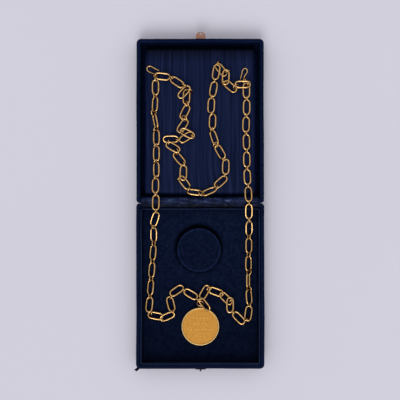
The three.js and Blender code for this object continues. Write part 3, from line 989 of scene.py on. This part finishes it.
def closed_wires(grids):
    """Points and quads of many closed wires, from an array (wires, steps, sides, 3)."""
    wires, steps, sides, _ = grids.shape
    one = grid_quads(steps, sides, close_rows=True, close_columns=True)
    shift = (np.arange(wires) * steps * sides)[:, None, None]
    return grids.reshape(-1, 3), (one[None] + shift).reshape(-1, 4)


print("wire helpers ready")

# %% [markdown]
# ## Chain
# The chain is a closed loop of long oval links, joined by small round rings. A chain that is
# dropped could be worked out by physics, but this one lies as a hand left it, so its route was read
# from the photograph and listed. The table has a stretch for each thing that the far ends of its
# links lie over. Each row is one link: its middle, its heading and its roll, how high it lies, and
# how many links run on in the same way to the next row. Its near end lies over the same thing as
# the far end of the row before. Over the hinge, the ribbon gives way under the chain a little.

# %% Route of the chain
LINK_LENGTH = 16.4
LINK_WIDTH = 8.1
LINK_WIRE = 1.75
RING_WIDTH = 7.0
RING_WIRE = 1.25

RIBBON_GIVE = 1.4
RIM_LEVEL = strip_high[2] - RIBBON_GIVE

LEVELS = {
    "bed": bed_high[2],
    "lining": lining_high[2],
    "rim": RIM_LEVEL,
    "halfway": (bed_high[2] + RIM_LEVEL) / 2,
}

# x, y from the hinge line, heading, roll, lift, links
ROUTE = [
    ("lining", [
        (-44.4, 115.8, -90, 12, 3.5, 1),
        (-44.9, 98.7, -93, 38, 3.7, 1),
        (-44.5, 82.0, -79, 58, 4.1, 1),
        (-43.4, 65.5, -90, 26, 3.5, 2),
        (-43.5, 33.5, -90, 34, 3.5, 1),
    ]),
    ("rim", [
        (-44.2, 17.5, -90, 12, 3.5, 1),
        (-43.8, 0.5, -91, 2, 3.5, 1),
    ]),
    ("halfway", [
        (-44.8, -16.0, -109, 6, 3.7, 1),
    ]),
    ("bed", [
        (-46.2, -31.5, -91, 26, 3.5, 1),
        (-47.0, -49.4, -95, 30, 3.5, 3),
        (-50.7, -101.6, -96, 12, 3.5, 1),
        (-44.7, -112.8, -10, 0, 1.9, 1),
        (-32.5, -113.3, 24, 18, 4.1, 1),
        (-29.2, -101.1, 104, 4, 1.9, 1),
        (-23.3, -87.6, 34, 0, 3.9, 1),
        (-9.2, -91.1, -31, 0, 3.6, 1),
        (4.5, -101.1, -52, 30, 6.4, 1),
        (4.8, -89.2, 60, 0, 3.3, 1),
        (16.2, -88.8, -20, 0, 2.6, 1),
        (26.1, -95.3, -44, 4, 4.1, 1),
        (30.1, -101.8, -90, 0, 6.1, 1),
        (38.8, -114.8, -46, 6, 4.1, 1),
        (48.6, -110.3, 82, 0, 2.7, 1),
        (49.2, -94.0, 94, 32, 3.5, 1),
        (48.3, -77.3, 90, 62, 4.1, 1),
        (48.7, -60.6, 90, 30, 3.5, 1),
        (49.1, -42.5, 90, 24, 3.5, 1),
    ]),
    ("halfway", [
        (49.2, -25.3, 91, 18, 3.5, 1),
    ]),
    ("rim", [
        (48.8, -8.2, 91, 4, 3.5, 1),
    ]),
    ("lining", [
        (48.3, 8.9, 92, 2, 3.5, 1),
        (47.3, 26.1, 93, 10, 3.5, 1),
        (46.8, 43.5, 91, 10, 3.5, 2),
        (46.1, 78.6, 88, 4, 3.5, 1),
        (46.7, 95.8, 89, 6, 3.5, 1),
        (46.5, 112.7, 90, 2, 3.2, 1),
        (42.7, 118.5, 180, 0, 5.1, 1),
        (30.3, 116.7, 140, 0, 3.1, 1),
        (25.8, 125.7, 87, 0, 5.0, 1),
        (21.2, 133.5, 131, 0, 2.9, 1),
        (16.2, 130.9, -100, 0, 4.6, 1),
        (13.5, 113.9, -100, 4, 3.5, 1),
        (11.3, 97.6, -93, 8, 3.5, 1),
        (12.6, 81.5, -92, 14, 3.9, 1),
        (14.2, 65.4, -71, 34, 3.5, 1),
        (20.2, 51.1, -60, 18, 3.7, 1),
        (25.8, 36.3, -92, 6, 3.5, 1),
        (20.8, 21.2, -138, 6, 3.5, 1),
        (9.2, 11.6, -157, 40, 5.4, 1),
        (-5.2, 10.8, 173, 40, 4.7, 1),
        (-15.5, 20.5, 127, 10, 2.9, 1),
        (-16.5, 30.1, 88, 4, 4.9, 1),
        (-20.7, 44.3, 130, 0, 3.1, 1),
        (-26.9, 55.7, 150, 0, 4.9, 1),
        (-29.2, 63.9, 1, 14, 2.7, 1),
        (-13.7, 65.7, 33, 0, 4.4, 1),
        (-12.5, 69.4, 153, 0, 6.4, 1),
        (-17.2, 77.0, 56, 0, 4.6, 1),
        (-15.0, 90.9, 64, 0, 3.5, 1),
        (-13.5, 106.3, 88, 0, 2.3, 1),
        (-15.8, 110.9, 227, 0, 4.7, 1),
        (-22.7, 120.9, 146, 0, 3.3, 1),
        (-37.5, 126.6, 173, 2, 4.3, 1),
    ]),
]


def spread_route():
    """Arrays of x, y, heading, roll, start height and end height, one value a link."""
    route = [(*row, LEVELS[over]) for over, stretch in ROUTE for row in stretch]
    rows = []
    for before, row, following in zip(route[-1:] + route[:-1], route, route[1:] + route[:1]):
        x, y, heading, roll, lift, count, level = row
        share = np.arange(count)[:, None] / count
        places = np.array([[x, y]]) * (1 - share) + np.array([following[:2]]) * share
        rest = [heading, roll, before[-1] + lift, level + lift]
        rows.append(np.column_stack([places, np.tile(rest, (count, 1))]))
    return np.concatenate(rows)


def place_links():
    """Middle, long direction and short direction of every link."""
    x, y, heading, roll, start, end = spread_route().T
    heading, roll = np.radians(heading), np.radians(roll)
    climb = np.arcsin((end - start) / (LINK_LENGTH - LINK_WIRE))
    middle = np.stack([x, y + HINGE_Y, (start + end) / 2], axis=-1)
    along = np.stack([np.cos(heading) * np.cos(climb), np.sin(heading) * np.cos(climb),
                      np.sin(climb)], axis=-1)
    side = np.stack([-np.sin(heading), np.cos(heading), 0 * heading], axis=-1)
    across = side * np.cos(roll)[:, None] + np.cross(along, side) * np.sin(roll)[:, None]
    return middle, along, across


link_middle, link_along, link_across = place_links()
print("links:", len(link_middle))


# %% [markdown]
# A link's line is an oval with nearly straight sides: the cosine and the sine of the angle
# are raised to powers under one, the cosine's much smaller. Its points are then spread
# evenly along it. One such outline, in millimetres along and across the link, serves for
# all the links at once.

# %% Links
LINK_STEPS = 44
LENGTHWISE_POWER = 0.47
CROSSWISE_POWER = 0.92
LINK_SIDES = 10


def oval_outline():
    """Points (along, across) of a link's line, evenly spread, starting at its far end."""
    angle = np.linspace(0, 2 * np.pi, 721)
    far, wide = np.cos(angle), np.sin(angle)
    u = np.sign(far) * np.abs(far) ** LENGTHWISE_POWER * (LINK_LENGTH - LINK_WIRE) / 2
    v = np.sign(wide) * np.abs(wide) ** CROSSWISE_POWER * (LINK_WIDTH - LINK_WIRE) / 2
    travelled = np.concatenate([[0], np.cumsum(np.hypot(np.diff(u), np.diff(v)))])
    wanted = np.linspace(0, travelled[-1], LINK_STEPS, endpoint=False)
    return np.stack([np.interp(wanted, travelled, u), np.interp(wanted, travelled, v)], axis=-1)


outline = oval_outline()
link_lines = (link_middle[:, None] + outline[:, :1] * link_along[:, None]
              + outline[:, 1:] * link_across[:, None])
link_directions = unit(np.roll(link_lines, -1, axis=1) - np.roll(link_lines, 1, axis=1))
square_to_links = np.cross(link_along, link_across)[:, None] + 0 * link_lines
link_grids = wire_grid(link_lines, square_to_links, LINK_WIRE / 2, LINK_SIDES)
print("link grids:", link_grids.shape)


# %% [markdown]
# A ring goes round the wires of two neighbouring links. Its place follows from where the two
# wires come within its reach: every pair of places on the two ovals gets a cost, which grows
# when they are too far apart for the ring or closer than the wires are thick, when the wires
# cross instead of running side by side, and with the distance from the links' ends. Small
# costs also keep the ring from hanging slack and from the wrong end of a link. The cheapest
# pair wins, and the ring stands square to the wires there, as high as they let it.

# %% Rings
RING_STEPS = 28
RING_SIDES = 8
RING_REACH = RING_WIDTH - 2 * RING_WIRE - LINK_WIRE
CLEARANCE = 0.1
NEAR_END = 2.0
TOO_FAR = 30.0
TOO_CLOSE = 20.0
CROSSING = 2.0
SLACK = 0.05
OFF_THE_ENDS = 0.12
INWARD_LEAN = 0.06


def meeting_places(first, second):
    """Best pair of points on two links for a ring, and the direction of the wires there."""
    distance = np.linalg.norm(link_lines[first][:, None] - link_lines[second][None], axis=-1)
    parallel = np.abs(link_directions[first] @ link_directions[second].T)
    half = (LINK_LENGTH - LINK_WIRE) / 2
    lengthwise = np.minimum(half - outline[:, 0], half + outline[:, 0] + NEAR_END)
    from_end = np.hypot(lengthwise, outline[:, 1])
    from_start = np.roll(from_end, LINK_STEPS // 2)
    cost = (TOO_FAR * np.maximum(distance - RING_REACH, 0) ** 2
            + TOO_CLOSE * np.maximum(LINK_WIRE + CLEARANCE - distance, 0) ** 2
            + CROSSING * (1 - parallel)
            + SLACK * np.maximum(RING_REACH - distance, 0)
            + OFF_THE_ENDS * (from_end[:, None] + from_start[None]))
    a, b = np.unravel_index(np.argmin(cost), cost.shape)
    same_way = np.sign(link_directions[first][a] @ link_directions[second][b])
    wires = link_directions[first][a] + same_way * link_directions[second][b]
    return link_lines[first][a], link_lines[second][b], wires


def place_ring(first, second):
    """Middle of the ring between two links, and the two directions of its plane."""
    a, b, wires = meeting_places(first, second)
    between = b - a
    distance = np.linalg.norm(between)
    between = between / distance
    axis = unit(wires - between * (wires @ between))
    upward = np.cross(axis, between)
    inward = (link_middle[first] + link_middle[second] - a - b) / 2
    wanted = INWARD_LEAN * inward + np.array([0.0, 0.0, 1.0])
    upward = upward * (1 if upward @ wanted >= 0 else -1)
    rise = np.sqrt(max((RING_REACH / 2) ** 2 - (distance / 2) ** 2, 0))
    return np.stack([(a + b) / 2 + upward * rise, between, upward])


def make_rings():
    """Grids of all the rings' surfaces."""
    count = len(link_middle)
    rings = np.stack([place_ring(link, (link + 1) % count) for link in range(count)])
    middle, between, upward = rings[:, :1], rings[:, 1:2], rings[:, 2:]
    radius = (RING_WIDTH - RING_WIRE) / 2
    return ring_grid(middle, radius, RING_WIRE, between, upward, RING_STEPS, RING_SIDES)


ring_grids = make_rings()
link_points, link_quads = closed_wires(link_grids)
ring_points, ring_quads = closed_wires(ring_grids)
add_piece(
    "chain",
    np.concatenate([link_points, ring_points]),
    [link_quads, ring_quads + len(link_points)],
    chain_gold,
    ["chain_left", "chain_right", "chain_inner", "link_carrier", "link_shoulder_left",
     "link_shoulder_right"],
)


# %% [markdown]
# ## Hooks
# At each shoulder of the chain a hook of thinner wire hangs on a link: an eye round the
# link's wire, a shank, a bend and a free leg. Its line runs smoothly through a few points,
# as the wire was bent by hand.

# %% Hooks
HOOK_WIRE = 1.3
EYE_RADIUS = 2.1
EYE_TILT = 48.0
EYE_LIFT = 2.5
LEG_STEPS = 8
HOOK_SIDES = 12
LEFT_EYE = (-44.6, 127.9)
RIGHT_EYE = (44.85, 122.2)
LEFT_LEG = [
    (-45.9, 129.2, 20.2),
    (-49.4, 130.8, 18.6),
    (-52.3, 132.5, 17.8),
    (-53.1, 135.3, 17.6),
    (-51.4, 137.3, 17.6),
    (-48.6, 137.0, 17.6),
    (-44.6, 134.6, 17.7),
    (-41.4, 133.1, 17.9),
]
RIGHT_LEG = [
    (45.6, 123.6, 20.2),
    (44.1, 125.3, 18.9),
    (45.3, 128.0, 18.1),
    (47.3, 131.2, 17.8),
    (47.2, 133.9, 17.6),
    (45.0, 135.2, 17.6),
    (42.8, 133.1, 17.6),
    (41.8, 128.9, 17.7),
    (40.7, 125.0, 17.9),
]


def smooth_line(points, steps):
    """A smooth line through the points: between two of them, the cubic of Catmull and Rom."""
    points = np.asarray(points, dtype=float)
    padded = np.concatenate([2 * points[:1] - points[1:2], points, 2 * points[-1:] - points[-2:-1]])
    t = np.linspace(0, 1, steps, endpoint=False)[:, None, None]
    a, b, c, d = padded[:-3], padded[1:-2], padded[2:-1], padded[3:]
    curve = 0.5 * (2 * b + (c - a) * t + (2 * a - 5 * b + 4 * c - d) * t**2
                   + (3 * b - a - 3 * c + d) * t**3)
    return np.concatenate([curve.transpose(1, 0, 2).reshape(-1, 3), points[-1:]])


def open_wire(line, radius, sides):
    """Grid of a wire along an open line, with a round end at each side."""
    before = np.concatenate([2 * line[:1] - line[1:2], line[:-1]])
    after = np.concatenate([line[1:], 2 * line[-1:] - line[-2:-1]])
    direction = unit(after - before)
    circle = circles_round(direction, unit(np.cross(direction, [0.13, 0.21, 1.0])), sides)
    cap = np.radians([18.0, 48.0, 75.0])[:, None, None]
    first = line[0] + radius * (circle[0] * np.sin(cap) - direction[0] * np.cos(cap))
    last = line[-1] + radius * (circle[-1] * np.sin(cap) + direction[-1] * np.cos(cap))
    return np.concatenate([first, line[:, None] + radius * circle, last[::-1]])


def make_hook(name, eye, wire_heading, leg, node):
    """One hook: its eye round the link's wire and its bent leg."""
    heading, tilt = np.radians(wire_heading), np.radians(EYE_TILT)
    plane_first = np.array([np.cos(heading) * np.cos(tilt), np.sin(heading) * np.cos(tilt),
                            -np.sin(tilt)])
    plane_second = np.array([-np.sin(heading), np.cos(heading), 0.0])
    middle = np.array([eye[0], eye[1] + HINGE_Y, lining_high[2] + EYE_LIFT])
    eye_grid = ring_grid(middle, EYE_RADIUS, HOOK_WIRE, plane_first, plane_second)
    eye_points, eye_quads = closed_wires(eye_grid[None])
    line = smooth_line(np.array(leg) + np.array([0.0, HINGE_Y, 0.0]), LEG_STEPS)
    leg_grid = open_wire(line, HOOK_WIRE / 2, HOOK_SIDES)
    faces = [eye_quads] + [group + len(eye_points) for group in lofted_faces(leg_grid)]
    points = np.concatenate([eye_points, leg_grid.reshape(-1, 3)])
    return add_piece(name, points, faces, chain_gold, [node])


make_hook("left_hook", LEFT_EYE, wire_heading=80.0, leg=LEFT_LEG, node="hook_left")
make_hook("right_hook", RIGHT_EYE, wire_heading=0.0, leg=RIGHT_LEG, node="hook_right")


# %% [markdown]
# ## Medal
# The medal is turned: a flat field, a step up to a polished rim and a rounded edge. Rows of
# small raised lozenges stand on the field. They are all one shape, so each row is given by
# its place up the field and its count alone. The disc is a little smaller than its solid.

# %% Medal
MEDAL_INSET = 0.25
MEDAL_RADIUS = (medal_high[0] - medal_low[0]) / 2 - MEDAL_INSET
MEDAL_MIDDLE = np.array([(medal_low[0] + medal_high[0]) / 2,
                         medal_low[1] + MEDAL_RADIUS + MEDAL_INSET, medal_low[2]])
RIM_WIDTH = 1.25
RIM_HEIGHT = 0.5
EDGE_ROUND = 0.5
LOZENGE_PITCH = 3.5
LOZENGE_ROWS = ((9.1, 5), (3.3, 4), (-2.4, 8), (-9.2, 3))
LOZENGE_CORNERS = ((1.1, 0, -0.05), (0, 1.2, -0.05), (-1.1, 0, -0.05), (0, -1.2, -0.05),
                   (0, 0, 0.4))


def lozenges():
    """Low four-sided points in rows across the field, as one array of five corners each."""
    places = []
    for y, count in LOZENGE_ROWS:
        x = (np.arange(count) - (count - 1) / 2) * LOZENGE_PITCH
        places.append(np.stack([x, np.full(count, y)], axis=-1))
    places = np.concatenate(places)
    flat = np.concatenate([places, np.zeros((len(places), 1))], axis=-1)
    points = flat[:, None] + LOZENGE_CORNERS + MEDAL_MIDDLE + np.array([0, 0, FIELD_HEIGHT])
    one = np.array([[0, 1, 4], [1, 2, 4], [2, 3, 4], [3, 0, 4]])
    faces = one[None] + (5 * np.arange(len(places)))[:, None, None]
    return points.reshape(-1, 3), faces.reshape(-1, 3)


def make_medal():
    """Turned disc with its rim, and the lozenges on its field."""
    top = FIELD_HEIGHT + RIM_HEIGHT
    inner = MEDAL_RADIUS - RIM_WIDTH
    profile = np.concatenate([
        [[0.3, 0.0], [MEDAL_RADIUS - 1.5, 0.0]],
        arc((MEDAL_RADIUS - EDGE_ROUND, EDGE_ROUND), EDGE_ROUND, -90, 0),
        arc((MEDAL_RADIUS - EDGE_ROUND, top - EDGE_ROUND), EDGE_ROUND, 0, 90),
        arc((inner + 0.45, top - 0.3), 0.3, 90, 170),
        [[inner, FIELD_HEIGHT + 0.05], [inner - 0.3, FIELD_HEIGHT]],
        np.stack([np.linspace(inner - 1, 0.3, 10), np.full(10, FIELD_HEIGHT)], axis=-1),
    ])
    grid = turned(profile, MEDAL_MIDDLE, 144)
    points = grid.reshape(-1, 3)
    relief_points, relief_faces = lozenges()
    faces = lofted_faces(grid) + [relief_faces + len(points)]
    return add_piece("medal_disc", np.concatenate([points, relief_points]), faces,
                     satin_gold, ["medal"])


make_medal()
print("medal across:", round(float(2 * MEDAL_RADIUS), 1), "mm")

# %% [markdown]
# A lug of wire stands upright on the medal's upper edge, a little to one side, and a jump
# ring leans through it to the link that carries the medal. Both are rings of the same wire.
# The jump ring takes its place and its width from its solid.

# %% Lug and ring of the medal
LUG_RADIUS = 1.5
MEDAL_WIRE = 1.1
RING_TILT = np.radians(38.0)
LUG_ASIDE = 0.7
SIDEWAYS, FORWARD, UPWARD = np.eye(3)
ring_low, ring_high = node_box("medal_ring")


def make_medal_ring():
    """The upright lug on the medal's edge and the tilted ring through it."""
    lug_reach = LUG_RADIUS + MEDAL_WIRE / 2
    lug_middle = np.array([MEDAL_MIDDLE[0] + LUG_ASIDE, medal_high[1] - lug_reach,
                           medal_low[2] + lug_reach])
    lug = ring_grid(lug_middle, LUG_RADIUS, MEDAL_WIRE, FORWARD, UPWARD)
    tilted = FORWARD * np.cos(RING_TILT) + UPWARD * np.sin(RING_TILT)
    ring_radius = (ring_high[0] - ring_low[0] - MEDAL_WIRE) / 2
    ring = ring_grid((ring_low + ring_high) / 2, ring_radius, MEDAL_WIRE, SIDEWAYS, tilted)
    points, quads = closed_wires(np.stack([lug, ring]))
    return add_piece("lug_and_ring", points, [quads], chain_gold, ["medal_ring"])


make_medal_ring()

# %% [markdown]
# ## Catch
# The pierced tongue on the lid and the plate with its stud on the base are flat bits of
# brass. Their solids already have the right shape, so they only get their finishes.

# %% CAD nodes that keep their shape
FINISH_OF_NODE = {
    "catch_tongue": catch_brass,
    "catch_plate": dark_brass,
}
for node, finish in FINISH_OF_NODE.items():
    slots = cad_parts[node].material_slots
    for index in range(len(slots)):
        slots[index].material = finish
print("nodes with a new finish:", list(FINISH_OF_NODE))


# %% [markdown]
# ## Table
# A plain pale table carries everything and takes the shadow. It reaches far past the view
# from above.

# %% Table
TABLE_HALF = 4.0


def make_table():
    """A large flat square that the box lies on."""
    material, tree, shader = new_material("table", Roughness=0.9)
    colour = use_group(tree, mottle, First=(0.70, 0.69, 0.76, 1.0),
                       Second=(0.73, 0.72, 0.79, 1.0), Scale=3.0, Contrast=1.0)
    tree.links.new(colour.outputs["Color"], shader.inputs["Base Color"])
    mesh = bpy.data.meshes.new("table")
    corners = [(TABLE_HALF * x, TABLE_HALF * y, 0) for x, y in ((-1, -1), (1, -1), (1, 1), (-1, 1))]
    mesh.from_pydata(corners, [], [(0, 1, 2, 3)])
    mesh.materials.append(material)
    table = bpy.data.objects.new("table", mesh)
    bpy.context.collection.objects.link(table)
    return table


make_table()
print("table reaches", TABLE_HALF, "m each way")
